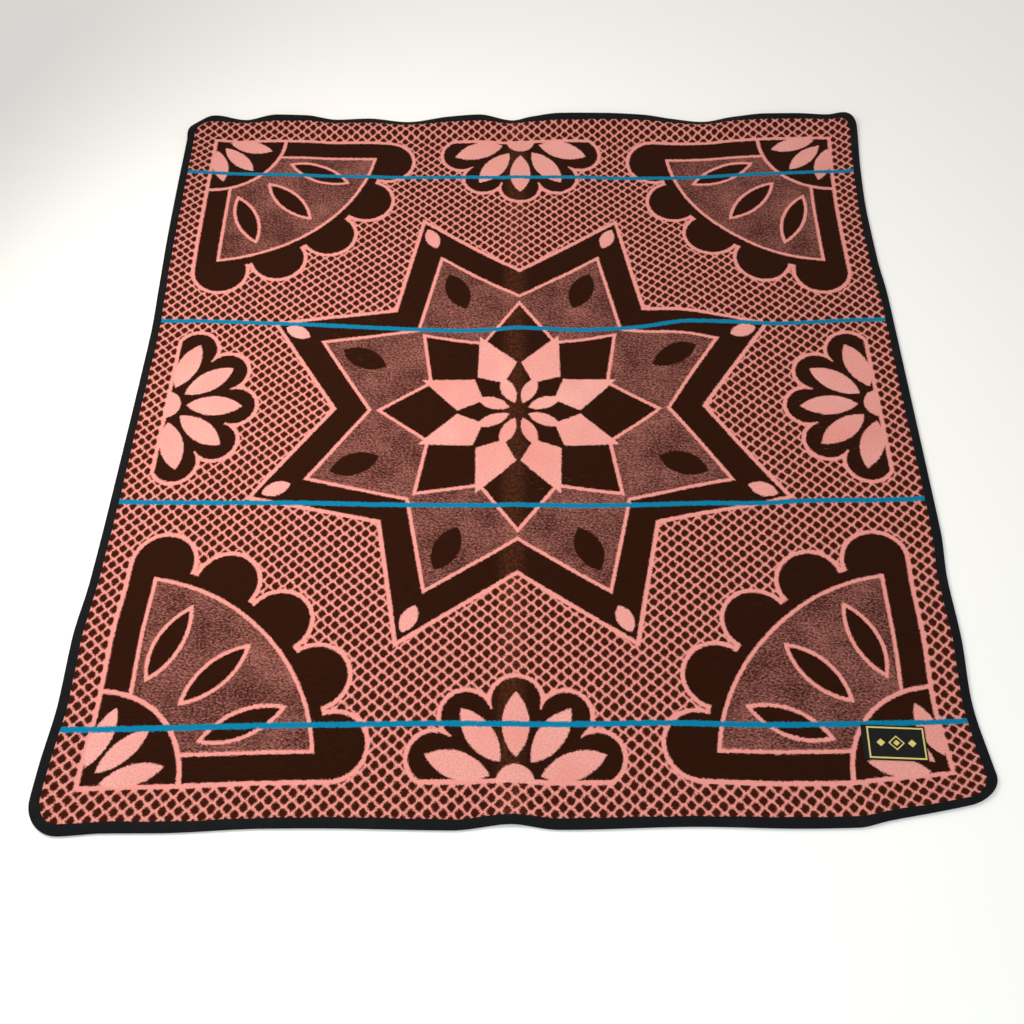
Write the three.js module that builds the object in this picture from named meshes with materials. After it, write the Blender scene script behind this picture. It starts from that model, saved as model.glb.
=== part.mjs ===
// A basotho blanket laid out flat: one thick woven wool cloth, a folded braid tape
// bound round its edge, and a small woven label sewn on near one corner.
// Millimetres. X runs along the stripes, Y across them, Z is up from the surface it lies on.
import * as THREE from 'three';

// Driving sizes
const WIDTH = 1550;
const LENGTH = 1650;
const CORNER_RADIUS = 55;
const CLOTH_THICKNESS = 3;
const TAPE_THICKNESS = 1;
const TAPE_REACH = 17;
const FIT = 0.3;

// The label: its size, its place on the laid blanket and how far it is turned
const LABEL = { width: 104, height: 58, thickness: 0.9, corner: 3 };
const LABEL_PLACE = { x: 623, y: -685, turnDegrees: -2 };

// The far edge lies in low waves. At each place along it: how far it is drawn in, and how
// strongly it turns up there, from 0 in a deep dip to 10 at a full crest.
const FAR_EDGE = [
  { at: -775, drawnIn: 15, lift: 3 },
  { at: -715, drawnIn: 4.3, lift: 9 },
  { at: -647, drawnIn: 10, lift: 2 },
  { at: -575, drawnIn: 4.8, lift: 10 },
  { at: -505, drawnIn: 4.8, lift: 8 },
  { at: -431, drawnIn: 13.4, lift: 3 },
  { at: -360, drawnIn: 11.9, lift: 4 },
  { at: -265, drawnIn: 20.5, lift: 1 },
  { at: -168, drawnIn: 12.4, lift: 7 },
  { at: -97, drawnIn: 9.3, lift: 9 },
  { at: -18, drawnIn: 19.5, lift: 2 },
  { at: 23, drawnIn: 13.9, lift: 6 },
  { at: 94, drawnIn: 7.8, lift: 10 },
  { at: 189, drawnIn: 7.3, lift: 9 },
  { at: 284, drawnIn: 11.4, lift: 7 },
  { at: 354, drawnIn: 22.4, lift: 4 },
  { at: 424, drawnIn: 29, lift: 1 },
  { at: 496, drawnIn: 16.9, lift: 4 },
  { at: 568, drawnIn: 12.8, lift: 8 },
  { at: 639, drawnIn: 13.6, lift: 8.5 },
  { at: 709, drawnIn: 14.9, lift: 6 },
  { at: 775, drawnIn: -13, lift: 10 },
];

// The near edge lies flat. Towards its right end it is pulled in.
const NEAR_EDGE = [
  { at: -775, drawnIn: -16 },
  { at: -722, drawnIn: -17 },
  { at: -650, drawnIn: -12 },
  { at: -560, drawnIn: -11 },
  { at: -400, drawnIn: -3 },
  { at: -300, drawnIn: -2 },
  { at: -100, drawnIn: -4 },
  { at: -5, drawnIn: 6 },
  { at: 70, drawnIn: -2 },
  { at: 300, drawnIn: 4 },
  { at: 440, drawnIn: 2 },
  { at: 540, drawnIn: 4 },
  { at: 590, drawnIn: 15 },
  { at: 660, drawnIn: 28 },
  { at: 710, drawnIn: 38 },
  { at: 775, drawnIn: 54 },
];

// The two sides, from the near end to the far end
const LEFT_EDGE = [
  { at: -825, drawnIn: -17 },
  { at: -720, drawnIn: -13 },
  { at: -610, drawnIn: -5 },
  { at: -500, drawnIn: -7 },
  { at: -390, drawnIn: 1 },
  { at: -200, drawnIn: 5 },
  { at: 160, drawnIn: 8 },
  { at: 300, drawnIn: 2 },
  { at: 450, drawnIn: -5 },
  { at: 640, drawnIn: -10 },
  { at: 825, drawnIn: -13 },
];
const RIGHT_EDGE = [
  { at: -825, drawnIn: -10 },
  { at: -740, drawnIn: 0 },
  { at: -620, drawnIn: 11 },
  { at: -500, drawnIn: 5 },
  { at: -400, drawnIn: 7 },
  { at: -290, drawnIn: 0 },
  { at: 50, drawnIn: 1 },
  { at: 270, drawnIn: 2 },
  { at: 370, drawnIn: 7 },
  { at: 500, drawnIn: 8 },
  { at: 640, drawnIn: 1 },
  { at: 740, drawnIn: -9 },
  { at: 825, drawnIn: -16 },
];

// How far in from an edge its own shape reaches before it has faded to a third, and where
// that of the near edge has run out
const SIDE_FADE = 250;
const FAR_FADE = 110;
const NEAR_REACH = 240;

// The cloth isn't pulled quite square. Along its length: how far the rows of the weave sag
// towards the near end at mid-width, and how far they climb from left to right.
const ROW_DRIFT = [
  { at: -825, sag: 0, climb: 0 },
  { at: -656, sag: 1, climb: 8 },
  { at: -222, sag: 10, climb: 2 },
  { at: 212, sag: 27, climb: -5 },
  { at: 646, sag: 21, climb: -8 },
  { at: 825, sag: 0, climb: 0 },
];

// The waves of the far edge run out this far in. At a crest the last stretch curls up, and
// behind a dip the cloth stands up in a soft ridge instead. A storage crease stands up along
// the middle of the blanket as a low ridge.
const WAVE_REACH = 130;
const WAVE_SHARE = 0.4;
const CURL_REACH = 60;
const RIDGE = { fromEdge: 34, halfWidth: 34, height: 12, fullCrest: 10 };
const CREASE = { at: -8, height: 2.4, halfWidth: 36 };

// The rim of the cloth lies on the tape's lower layer, and comes down to the surface inside it
const RIM_HEIGHT = TAPE_THICKNESS + FIT;
const RIM_FOOT = 42;

// How steeply a column of a table rises from one row to the next
function rise(table, key, i) {
  return (table[i + 1][key] - table[i][key]) / (table[i + 1].at - table[i].at);
}

// The slope at a row: level on a crest or in a dip, and between the two rises elsewhere
function slopeAt(table, key, i) {
  if (i === 0) return rise(table, key, 0);
  if (i === table.length - 1) return rise(table, key, i - 1);
  const before = rise(table, key, i - 1);
  const after = rise(table, key, i);
  return before * after > 0 ? (2 * before * after) / (before + after) : 0;
}

// A value between the rows of a table, on a smooth curve that never passes the rows' own values
function readTable(table, key, at) {
  const last = table.length - 1;
  if (at <= table[0].at) return table[0][key];
  if (at >= table[last].at) return table[last][key];
  const next = table.findIndex((row) => row.at > at);
  const before = table[next - 1];
  const after = table[next];
  const step = after.at - before.at;
  const share = (at - before.at) / step;
  const eased = THREE.MathUtils.lerp(before[key], after[key], THREE.MathUtils.smoothstep(share, 0, 1));
  const leaving = slopeAt(table, key, next - 1) * share * (1 - share) ** 2;
  const arriving = slopeAt(table, key, next) * share * share * (share - 1);
  return eased + step * (leaving + arriving);
}

// A smooth hump, 1 at the middle and level with 0 at the ends
function hump(share) {
  return Math.abs(share) < 1 ? (1 - share * share) ** 2 : 0;
}

// Where a point of the flat, square blanket lies once it is spread out
function laidPlan(flat) {
  const toLeft = Math.exp(-(flat.x + WIDTH / 2) / SIDE_FADE);
  const toRight = Math.exp(-(WIDTH / 2 - flat.x) / SIDE_FADE);
  const toFar = Math.exp(-(LENGTH / 2 - flat.y) / FAR_FADE);
  const toNear = Math.max(1 - (flat.y + LENGTH / 2) / NEAR_REACH, 0) ** 2;
  const across = (2 * flat.x) / WIDTH;
  const sag = readTable(ROW_DRIFT, 'sag', flat.y) * (1 - across * across);
  const climb = readTable(ROW_DRIFT, 'climb', flat.y) * across;
  const fromLeft = toLeft * readTable(LEFT_EDGE, 'drawnIn', flat.y);
  const fromRight = toRight * readTable(RIGHT_EDGE, 'drawnIn', flat.y);
  const fromFar = toFar * readTable(FAR_EDGE, 'drawnIn', flat.x);
  const fromNear = toNear * readTable(NEAR_EDGE, 'drawnIn', flat.x);
  return new THREE.Vector2(flat.x + fromLeft - fromRight, flat.y - sag + climb - fromFar + fromNear);
}

// How high the blanket stands off the surface at a point of the flat, square blanket
function lift(flat) {
  const fromFar = LENGTH / 2 - flat.y;
  const crest = readTable(FAR_EDGE, 'lift', flat.x);
  const wave = WAVE_SHARE * crest * hump(fromFar / WAVE_REACH);
  const curl = crest * Math.max(1 - fromFar / CURL_REACH, 0) ** 2;
  const behindDip = RIDGE.height * (1 - crest / RIDGE.fullCrest);
  const ridge = behindDip * hump((fromFar - RIDGE.fromEdge) / RIDGE.halfWidth);
  const crease = CREASE.height * hump((flat.x - CREASE.at) / CREASE.halfWidth);
  return Math.max(wave + curl + ridge, crease);
}

// How high the tape's lower layer carries the rim of the cloth, by distance in from the edge
function rimHeight(fromEdge) {
  return RIM_HEIGHT * (1 - THREE.MathUtils.smoothstep(fromEdge, TAPE_REACH, RIM_FOOT));
}

// Stations along the width and the length. They fall on the crests and dips of the far
// edge and halfway between them, and close together over the crease and the waves.
const INNER_WIDTH = WIDTH / 2 - CORNER_RADIUS;
const INNER_LENGTH = LENGTH / 2 - CORNER_RADIUS;
const SIDE_STEP = 85;

function sortedStations(values, end) {
  const inside = values.filter((value) => Math.abs(value) < end - 8);
  return [-end, ...inside.sort((a, b) => a - b), end];
}

function columnStations() {
  const values = [];
  FAR_EDGE.forEach((row, i) => {
    const next = FAR_EDGE[i + 1];
    const offCrease = (x) => Math.abs(x - CREASE.at) > CREASE.halfWidth + 4;
    if (offCrease(row.at)) values.push(row.at);
    if (next && offCrease((row.at + next.at) / 2)) values.push((row.at + next.at) / 2);
  });
  [-1, -0.6, -0.25, 0.25, 0.6, 1].forEach((share) => {
    values.push(CREASE.at + share * CREASE.halfWidth);
  });
  return sortedStations(values, INNER_WIDTH);
}

function rowStations() {
  const waves = [0.55, 0.75, 1].map((share) => LENGTH / 2 - share * WAVE_REACH);
  const start = -INNER_LENGTH;
  const end = waves[2];
  const steps = Math.round((end - start) / SIDE_STEP);
  const even = Array.from({ length: steps - 1 }, (_, i) => start + ((i + 1) * (end - start)) / steps);
  return sortedStations([...even, ...waves], INNER_LENGTH);
}

const COLUMNS = columnStations();
const ROWS = rowStations();
const CORNER_STEPS = 6;

// Stations round the edge, counter-clockwise seen from above. Each has a foot, which is the
// vertex of the inner rectangle that it springs from, and the direction outwards.
function edgeStations() {
  const lastColumn = COLUMNS.length - 1;
  const lastRow = ROWS.length - 1;
  const sides = [
    { feet: COLUMNS.map((_, i) => [i, 0]), turn: -90 },
    { feet: ROWS.map((_, j) => [lastColumn, j]), turn: 0 },
    { feet: COLUMNS.map((_, i) => [lastColumn - i, lastRow]), turn: 90 },
    { feet: ROWS.map((_, j) => [0, lastRow - j]), turn: 180 },
  ];
  const stations = [];
  const add = ([column, row], degrees) => {
    const angle = THREE.MathUtils.degToRad(degrees);
    stations.push({ column, row, out: new THREE.Vector2(Math.cos(angle), Math.sin(angle)) });
  };
  for (const side of sides) {
    side.feet.forEach((foot) => add(foot, side.turn));
    for (let step = 1; step < CORNER_STEPS; step++) {
      add(side.feet.at(-1), side.turn + (90 * step) / CORNER_STEPS);
    }
  }
  return stations;
}

const EDGE = edgeStations();

// The point of the flat blanket at a station, this far in from the finished edge
function inFromEdge(station, fromEdge) {
  const foot = new THREE.Vector2(COLUMNS[station.column], ROWS[station.row]);
  return foot.addScaledVector(station.out, CORNER_RADIUS - fromEdge);
}

function solid(name, positions, triangles, material) {
  const geometry = new THREE.BufferGeometry();
  geometry.setAttribute('position', new THREE.Float32BufferAttribute(positions, 3));
  geometry.setIndex(triangles);
  geometry.computeVertexNormals();
  const mesh = new THREE.Mesh(geometry, material);
  mesh.name = name;
  return mesh;
}

// The cloth: an inner grid and rings of stations round it, one layer above and one below
function blanketCloth() {
  const rings = [TAPE_THICKNESS + FIT, TAPE_REACH, 28, RIM_FOOT];
  const plan = [];
  for (const y of ROWS) {
    for (const x of COLUMNS) plan.push({ flat: new THREE.Vector2(x, y), fromEdge: CORNER_RADIUS });
  }
  const footOf = (station) => station.row * COLUMNS.length + station.column;
  const ringStart = plan.length;
  for (const fromEdge of rings) {
    for (const station of EDGE) plan.push({ flat: inFromEdge(station, fromEdge), fromEdge });
  }
  const onRing = (ring, i) => ringStart + ring * EDGE.length + (i % EDGE.length);

  const top = [];
  for (let row = 0; row + 1 < ROWS.length; row++) {
    for (let column = 0; column + 1 < COLUMNS.length; column++) {
      const a = row * COLUMNS.length + column;
      const b = a + COLUMNS.length;
      top.push([a, a + 1, b + 1], [a, b + 1, b]);
    }
  }
  for (let ring = 0; ring + 1 < rings.length; ring++) {
    for (let i = 0; i < EDGE.length; i++) {
      const outer = [onRing(ring, i), onRing(ring, i + 1)];
      const inner = [onRing(ring + 1, i), onRing(ring + 1, i + 1)];
      top.push([outer[0], outer[1], inner[1]], [outer[0], inner[1], inner[0]]);
    }
  }
  for (let i = 0; i < EDGE.length; i++) {
    const outer = [onRing(rings.length - 1, i), onRing(rings.length - 1, i + 1)];
    const feet = [footOf(EDGE[i]), footOf(EDGE[(i + 1) % EDGE.length])];
    top.push([outer[0], outer[1], feet[1]]);
    if (feet[0] !== feet[1]) top.push([outer[0], feet[1], feet[0]]);
  }

  const positions = [];
  for (const thickness of [CLOTH_THICKNESS, 0]) {
    for (const { flat, fromEdge } of plan) {
      const laid = laidPlan(flat);
      positions.push(laid.x, laid.y, lift(flat) + rimHeight(fromEdge) + thickness);
    }
  }
  const below = plan.length;
  const triangles = top.flat();
  for (const [a, b, c] of top) triangles.push(a + below, c + below, b + below);
  for (let i = 0; i < EDGE.length; i++) {
    const a = onRing(0, i);
    const b = onRing(0, i + 1);
    triangles.push(a, a + below, b + below, a, b + below, b);
  }
  const wool = new THREE.MeshStandardMaterial({ color: 0x6b3a2e, roughness: 0.95, metalness: 0 });
  return solid('blanket_cloth', positions, triangles, wool);
}

// The binding: a C-shaped section, open towards the cloth, carried round the edge
function edgeBinding() {
  const height = 2 * (TAPE_THICKNESS + FIT) + CLOTH_THICKNESS;
  const shoulder = 2.2;
  const brow = 0.5;
  const section = [
    { fromEdge: TAPE_REACH, z: 0 },
    { fromEdge: shoulder, z: 0 },
    { fromEdge: brow, z: TAPE_THICKNESS },
    { fromEdge: 0, z: height / 2 },
    { fromEdge: brow, z: height - TAPE_THICKNESS },
    { fromEdge: shoulder, z: height },
    { fromEdge: TAPE_REACH, z: height },
    { fromEdge: TAPE_REACH, z: height - TAPE_THICKNESS },
    { fromEdge: TAPE_THICKNESS, z: height - TAPE_THICKNESS },
    { fromEdge: TAPE_THICKNESS, z: TAPE_THICKNESS },
    { fromEdge: TAPE_REACH, z: TAPE_THICKNESS },
  ];
  const positions = [];
  for (const station of EDGE) {
    for (const { fromEdge, z } of section) {
      const flat = inFromEdge(station, fromEdge);
      const laid = laidPlan(flat);
      positions.push(laid.x, laid.y, lift(flat) + z);
    }
  }
  const triangles = [];
  const count = section.length;
  for (let i = 0; i < EDGE.length; i++) {
    const here = i * count;
    const next = ((i + 1) % EDGE.length) * count;
    for (let k = 0; k < count; k++) {
      const above = (k + 1) % count;
      // The diagonal of each facet runs as it does in the cloth, so the layers stay parallel
      if (section[above].fromEdge < section[k].fromEdge) {
        triangles.push(here + k, next + k, here + above, next + k, next + above, here + above);
      } else {
        triangles.push(here + k, next + k, next + above, here + k, next + above, here + above);
      }
    }
  }
  const braid = new THREE.MeshStandardMaterial({ color: 0x1c1e22, roughness: 0.8, metalness: 0 });
  return solid('edge_binding', positions, triangles, braid);
}

// The label: a thin woven rectangle with softened corners, sewn flat on the cloth
function wovenLabel() {
  const { width, height, thickness, corner } = LABEL;
  const outline = new THREE.Shape();
  const x = width / 2;
  const y = height / 2;
  outline.moveTo(-x + corner, -y);
  outline.lineTo(x - corner, -y);
  outline.quadraticCurveTo(x, -y, x, -y + corner);
  outline.lineTo(x, y - corner);
  outline.quadraticCurveTo(x, y, x - corner, y);
  outline.lineTo(-x + corner, y);
  outline.quadraticCurveTo(-x, y, -x, y - corner);
  outline.lineTo(-x, -y + corner);
  outline.quadraticCurveTo(-x, -y, -x + corner, -y);
  const geometry = new THREE.ExtrudeGeometry(outline, {
    depth: thickness,
    bevelEnabled: false,
    curveSegments: 4,
  });
  const satin = new THREE.MeshStandardMaterial({ color: 0x17171a, roughness: 0.6, metalness: 0 });
  const label = new THREE.Mesh(geometry, satin);
  label.name = 'woven_label';
  label.position.set(LABEL_PLACE.x, LABEL_PLACE.y, CLOTH_THICKNESS + FIT);
  label.rotation.z = THREE.MathUtils.degToRad(LABEL_PLACE.turnDegrees);
  return label;
}

// The whole blanket, centred on the middle of its own outline
const blanket = new THREE.Group();
blanket.add(blanketCloth(), edgeBinding(), wovenLabel());
const middle = new THREE.Box3().setFromObject(blanket).getCenter(new THREE.Vector3());
blanket.position.set(-middle.x, -middle.y, 0);

export default blanket;
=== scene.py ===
# %% [markdown]
# A basotho blanket is one thick, brushed wool cloth with its design woven in two colours,
# bound round the edge with a folded braid tape. This lesson dresses the solid model of one
# that lies spread out flat. The solid model gives the true size, so it is loaded first.

# %% Load the solid model
import math

import bpy
import numpy as np
from mathutils import Matrix, Vector


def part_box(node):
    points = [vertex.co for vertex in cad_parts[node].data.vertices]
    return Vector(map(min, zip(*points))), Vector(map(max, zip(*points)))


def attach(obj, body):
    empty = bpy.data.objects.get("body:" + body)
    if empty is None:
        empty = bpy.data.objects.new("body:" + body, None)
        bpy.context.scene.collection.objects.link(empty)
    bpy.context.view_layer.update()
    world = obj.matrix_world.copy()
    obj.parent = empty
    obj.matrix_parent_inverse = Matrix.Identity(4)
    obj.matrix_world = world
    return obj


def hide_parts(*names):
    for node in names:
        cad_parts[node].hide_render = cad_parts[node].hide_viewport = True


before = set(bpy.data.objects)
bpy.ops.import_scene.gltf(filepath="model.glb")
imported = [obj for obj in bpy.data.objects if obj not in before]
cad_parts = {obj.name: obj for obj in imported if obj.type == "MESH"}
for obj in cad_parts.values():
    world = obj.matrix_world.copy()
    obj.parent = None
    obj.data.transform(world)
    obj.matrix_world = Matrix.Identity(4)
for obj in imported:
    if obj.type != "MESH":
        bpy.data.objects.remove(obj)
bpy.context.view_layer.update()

# %% [markdown]
# All sizes are in metres and repeat the ones of the solid model. The blanket is described
# flat and square first, as it was cut and bound. The cloth ends just inside the fold of the
# tape, and its rim lies on the tape's lower layer and comes down to the surface inside it.

# %% Sizes of the blanket
WIDTH = 1.550
LENGTH = 1.650
CORNER_RADIUS = 0.055
CLOTH_THICKNESS = 0.003
TAPE_THICKNESS = 0.001
TAPE_REACH = 0.017
FIT = 0.0003
CUT_IN = TAPE_THICKNESS + FIT
RIM_HEIGHT = TAPE_THICKNESS + FIT
RIM_FOOT = 0.042
print("finished size:", WIDTH, "by", LENGTH, "m, with the cloth cut", round(CUT_IN, 4), "m inside it")

# %% [markdown]
# A blanket spread out by hand never lies square. Blender's cloth simulation could drop it,
# but its folds would come by chance and miss the solid model. So short tables are used, with
# a row wherever an edge bends. Their columns are the place along the edge, how far the edge
# is drawn in there and, on the far edge, how strongly it turns up, from 0 in a dip to 0.010
# at a full crest.

# %% Tables of the four edges
FAR_EDGE = [
    (-0.775, 0.0150, 0.0030),
    (-0.715, 0.0043, 0.0090),
    (-0.647, 0.0100, 0.0020),
    (-0.575, 0.0048, 0.0100),
    (-0.505, 0.0048, 0.0080),
    (-0.431, 0.0134, 0.0030),
    (-0.360, 0.0119, 0.0040),
    (-0.265, 0.0205, 0.0010),
    (-0.168, 0.0124, 0.0070),
    (-0.097, 0.0093, 0.0090),
    (-0.018, 0.0195, 0.0020),
    (0.023, 0.0139, 0.0060),
    (0.094, 0.0078, 0.0100),
    (0.189, 0.0073, 0.0090),
    (0.284, 0.0114, 0.0070),
    (0.354, 0.0224, 0.0040),
    (0.424, 0.0290, 0.0010),
    (0.496, 0.0169, 0.0040),
    (0.568, 0.0128, 0.0080),
    (0.639, 0.0136, 0.0085),
    (0.709, 0.0149, 0.0060),
    (0.775, -0.0130, 0.0100),
]
NEAR_EDGE = [
    (-0.775, -0.016),
    (-0.722, -0.017),
    (-0.650, -0.012),
    (-0.560, -0.011),
    (-0.400, -0.003),
    (-0.300, -0.002),
    (-0.100, -0.004),
    (-0.005, 0.006),
    (0.070, -0.002),
    (0.300, 0.004),
    (0.440, 0.002),
    (0.540, 0.004),
    (0.590, 0.015),
    (0.660, 0.028),
    (0.710, 0.038),
    (0.775, 0.054),
]
LEFT_EDGE = [
    (-0.825, -0.017),
    (-0.720, -0.013),
    (-0.610, -0.005),
    (-0.500, -0.007),
    (-0.390, 0.001),
    (-0.200, 0.005),
    (0.160, 0.008),
    (0.300, 0.002),
    (0.450, -0.005),
    (0.640, -0.010),
    (0.825, -0.013),
]
RIGHT_EDGE = [
    (-0.825, -0.010),
    (-0.740, 0.000),
    (-0.620, 0.011),
    (-0.500, 0.005),
    (-0.400, 0.007),
    (-0.290, 0.000),
    (0.050, 0.001),
    (0.270, 0.002),
    (0.370, 0.007),
    (0.500, 0.008),
    (0.640, 0.001),
    (0.740, -0.009),
    (0.825, -0.016),
]
SIDE_FADE = 0.250
FAR_FADE = 0.110
NEAR_REACH = 0.240
print("rows of the edges:", [len(edge) for edge in (FAR_EDGE, NEAR_EDGE, LEFT_EDGE, RIGHT_EDGE)])

# %% [markdown]
# Inside the edges the rows of the weave sag a little at mid-width and climb from left to
# right. The waves of the far edge run out over a hand's breadth, a soft ridge stands behind
# each dip, and a low storage crease runs down the middle.

# %% Waves, ridges and the storage crease
# Columns: place along the length, sag of the rows of the weave, climb from left to right
ROW_DRIFT = [
    (-0.825, 0.000, 0.000),
    (-0.656, 0.001, 0.008),
    (-0.222, 0.010, 0.002),
    (0.212, 0.027, -0.005),
    (0.646, 0.021, -0.008),
    (0.825, 0.000, 0.000),
]
WAVE_REACH = 0.130
WAVE_SHARE = 0.4
CURL_REACH = 0.060
RIDGE_FROM_EDGE = 0.034
RIDGE_HALF_WIDTH = 0.034
RIDGE_HEIGHT = 0.012
FULL_CREST = 0.010
CREASE_AT = -0.008
CREASE_HEIGHT = 0.0024
CREASE_HALF_WIDTH = 0.036
print("highest crest:", FULL_CREST, "ridge:", RIDGE_HEIGHT, "crease:", CREASE_HEIGHT)

# %% [markdown]
# The spread-out shape is a set of small functions on arrays, so that the cloth and the tape
# ask the same question and stay exactly one clearance apart. Between two rows of a table the
# value runs on a smooth curve that is level at crests and dips, and straight where the rows
# lie on a line, as a pulled edge of cloth does.

# %% How the blanket lies
def read_table(table, column, at):
    rows = np.array(table)
    rise = np.diff(rows[:, column]) / np.diff(rows[:, 0])
    both = rise[:-1] * rise[1:]
    inner = 2 * both / np.where(both > 0, rise[:-1] + rise[1:], 1)
    slope = np.concatenate([rise[:1], np.where(both > 0, inner, 0), rise[-1:]])
    before = np.clip(np.searchsorted(rows[:, 0], at, side="right") - 1, 0, len(rows) - 2)
    step = rows[before + 1, 0] - rows[before, 0]
    share = np.clip((at - rows[before, 0]) / step, 0, 1)
    eased = share * share * (3 - 2 * share)
    value = rows[before, column] * (1 - eased) + rows[before + 1, column] * eased
    leaving = slope[before] * share * (1 - share) ** 2
    arriving = slope[before + 1] * share * share * (share - 1)
    return value + step * (leaving + arriving)


def hump(share):
    return np.clip(1 - share * share, 0, None) ** 2


def ease(low, high, value):
    share = np.clip((value - low) / (high - low), 0, 1)
    return share * share * (3 - 2 * share)


def laid_plan(x, y):
    """Where a point of the flat blanket lies in plan once it is spread out."""
    across = 2 * x / WIDTH
    sag = read_table(ROW_DRIFT, 1, y) * (1 - across * across)
    climb = read_table(ROW_DRIFT, 2, y) * across
    from_left = np.exp(-(x + WIDTH / 2) / SIDE_FADE) * read_table(LEFT_EDGE, 1, y)
    from_right = np.exp(-(WIDTH / 2 - x) / SIDE_FADE) * read_table(RIGHT_EDGE, 1, y)
    from_far = np.exp(-(LENGTH / 2 - y) / FAR_FADE) * read_table(FAR_EDGE, 1, x)
    from_near = np.clip(1 - (y + LENGTH / 2) / NEAR_REACH, 0, None) ** 2 * read_table(NEAR_EDGE, 1, x)
    return x + from_left - from_right, y - sag + climb - from_far + from_near


def lift(x, y):
    """How high the blanket stands off the surface."""
    from_far = LENGTH / 2 - y
    crest = read_table(FAR_EDGE, 2, x)
    wave = WAVE_SHARE * crest * hump(from_far / WAVE_REACH)
    curl = crest * np.clip(1 - from_far / CURL_REACH, 0, None) ** 2
    behind_dip = RIDGE_HEIGHT * (1 - crest / FULL_CREST)
    ridge = behind_dip * hump((from_far - RIDGE_FROM_EDGE) / RIDGE_HALF_WIDTH)
    crease = CREASE_HEIGHT * hump((x - CREASE_AT) / CREASE_HALF_WIDTH)
    return np.maximum(wave + curl + ridge, crease)


def from_edge(x, y):
    """How far in from the finished edge a point of the flat blanket is."""
    over_x = np.abs(x) - (WIDTH / 2 - CORNER_RADIUS)
    over_y = np.abs(y) - (LENGTH / 2 - CORNER_RADIUS)
    outside = np.hypot(np.maximum(over_x, 0), np.maximum(over_y, 0))
    return CORNER_RADIUS - outside - np.minimum(np.maximum(over_x, over_y), 0)


def edge_stations(spacing):
    """Points round the flat inner rectangle and the direction outwards at each."""
    half_width, half_length = WIDTH / 2 - CORNER_RADIUS, LENGTH / 2 - CORNER_RADIUS
    corners = [
        (-half_width, -half_length),
        (half_width, -half_length),
        (half_width, half_length),
        (-half_width, half_length),
    ]
    feet, outwards = [], []
    for side in range(4):
        start, end = Vector(corners[side]), Vector(corners[(side + 1) % 4])
        facing = math.radians(90 * side - 90)
        steps = round((end - start).length / spacing)
        for step in range(steps):
            feet.append(start.lerp(end, step / steps))
            outwards.append((math.cos(facing), math.sin(facing)))
        turns = round(CORNER_RADIUS * math.pi / 2 / spacing)
        for turn in range(turns):
            angle = facing + math.pi / 2 * turn / turns
            feet.append(end)
            outwards.append((math.cos(angle), math.sin(angle)))
    return np.array(feet), np.array(outwards)


STATION_SPACING = 0.006

feet, outwards = edge_stations(STATION_SPACING)
rim_x, rim_y = laid_plan(*(feet + CORNER_RADIUS * outwards).T)
tape_low, tape_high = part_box("edge_binding")
SHIFT_X = (tape_low[0] + tape_high[0]) / 2 - (rim_x.min() + rim_x.max()) / 2
SHIFT_Y = (tape_low[1] + tape_high[1]) / 2 - (rim_y.min() + rim_y.max()) / 2
print("stations round the edge:", len(feet))
print("shift to the frame:", round(SHIFT_X, 5), round(SHIFT_Y, 5))

# %% [markdown]
# The camera comes from the photograph: it looks down at the blanket from the near side, a
# little to the right of the middle, and is tilted by about two degrees. The picture is square,
# so the lens is worked out from a focal length in pixels, which fits any sensor.

# %% Camera
CAMERA_PLACE = Vector((0.030 + SHIFT_X, -1.157 + SHIFT_Y, 1.650))
CAMERA_AIM = Vector((-0.010 + SHIFT_X, -0.249 + SHIFT_Y, 0.0))
CAMERA_ROLL = math.radians(2.25)
PICTURE = 1024
FOCAL_PIXELS = 1008
SENSOR = 36.0

camera_data = bpy.data.cameras.new("camera")
camera_data.sensor_width = SENSOR
camera_data.lens = FOCAL_PIXELS / PICTURE * SENSOR
camera_data.clip_start = 0.05
camera_data.clip_end = 60
camera = bpy.data.objects.new("camera", camera_data)
bpy.context.scene.collection.objects.link(camera)
camera.location = CAMERA_PLACE
looking = (CAMERA_AIM - CAMERA_PLACE).to_track_quat("-Z", "Y").to_matrix().to_4x4()
rolled = looking @ Matrix.Rotation(-CAMERA_ROLL, 4, "Z")
camera.rotation_euler = rolled.to_euler()
bpy.context.scene.camera = camera
print("camera lens:", round(camera_data.lens, 2), "mm")

# %% [markdown]
# The surface is a plain pale floor. A sun lamp would throw hard shadows, so area lights are
# used, because the size of one sets how soft its shadow is. A warm one hangs above the left
# half, as daylight from a window. A cool one fills from the near side, and a wide one
# brightens the floor behind.

# %% Floor and light
def deselect():
    for item in bpy.context.selected_objects:
        item.select_set(False)


def plain_material(name, colour, roughness):
    material = bpy.data.materials.new(name)
    material.use_nodes = True
    shader = material.node_tree.nodes["Principled BSDF"]
    shader.inputs["Base Color"].default_value = (*colour, 1)
    shader.inputs["Roughness"].default_value = roughness
    return material


deselect()
bpy.ops.mesh.primitive_plane_add(size=14, location=(0, 0, 0))
floor = bpy.context.object
floor.name = "floor"
floor.data.materials.append(plain_material("pale_floor", (0.97, 0.94, 0.90), 0.9))

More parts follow.
